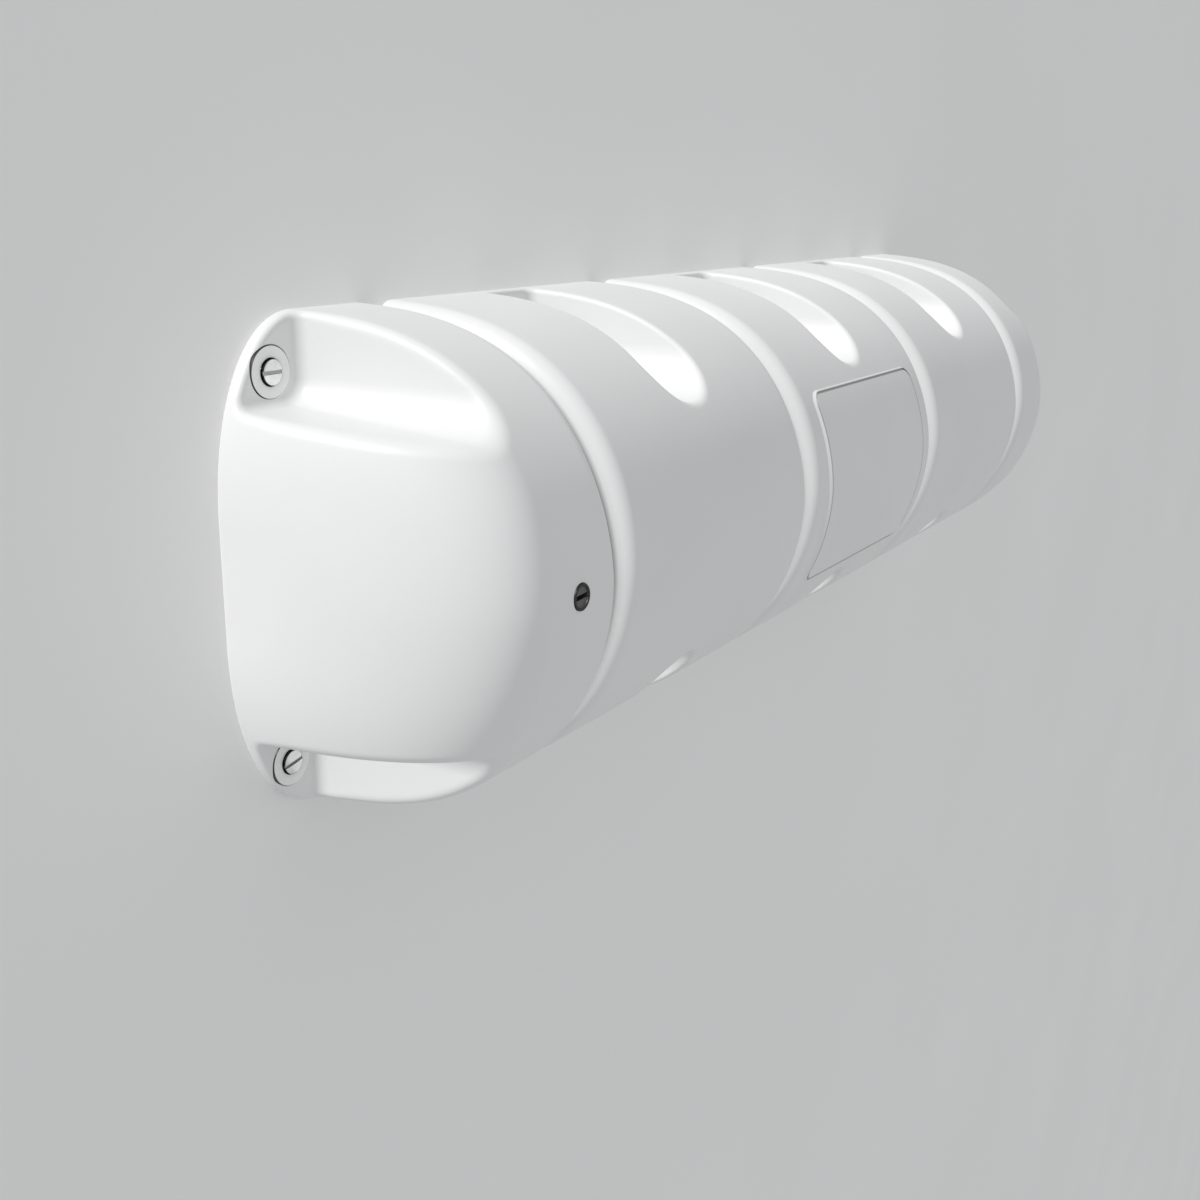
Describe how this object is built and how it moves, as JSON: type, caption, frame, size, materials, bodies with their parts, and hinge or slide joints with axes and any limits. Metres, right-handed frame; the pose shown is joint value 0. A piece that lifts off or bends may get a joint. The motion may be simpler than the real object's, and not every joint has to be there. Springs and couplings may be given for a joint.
{
  "type": "dock fender",
  "caption": "Long D-section dock bumper with girth grooves, rounded ends and recessed screw fixings through its flat back flange.",
  "frame": {"origin": "on the back plane, at the middle of the length and of the height", "axes": "+X along the fender, +Y up once it is mounted, +Z out from the dock; stored lying on its back"},
  "size_m": [0.75, 0.215, 0.1328],
  "materials": {
    "moulded_body": "satin white moulded PVC",
    "dark_plug": "dark grey moulded plug",
    "washer": "light grey moulded washer",
    "screw_steel": "stainless steel"
  },
  "bodies": {
    "root": {"fender_body": "moulded_body", "valve_plug": "dark_plug", "washer_end_a_upper": "washer", "screw_end_a_upper": "screw_steel", "washer_end_a_lower": "washer", "screw_end_a_lower": "screw_steel", "washer_bay_1_upper": "washer", "screw_bay_1_upper": "screw_steel", "washer_bay_1_lower": "washer", "screw_bay_1_lower": "screw_steel", "washer_bay_2_upper": "washer", "screw_bay_2_upper": "screw_steel", "washer_bay_2_lower": "washer", "screw_bay_2_lower": "screw_steel", "washer_bay_3_upper": "washer", "screw_bay_3_upper": "screw_steel", "washer_bay_3_lower": "washer", "screw_bay_3_lower": "screw_steel", "washer_end_b_upper": "washer", "screw_end_b_upper": "screw_steel", "washer_end_b_lower": "washer", "screw_end_b_lower": "screw_steel"}
  },
  "joints": []
}
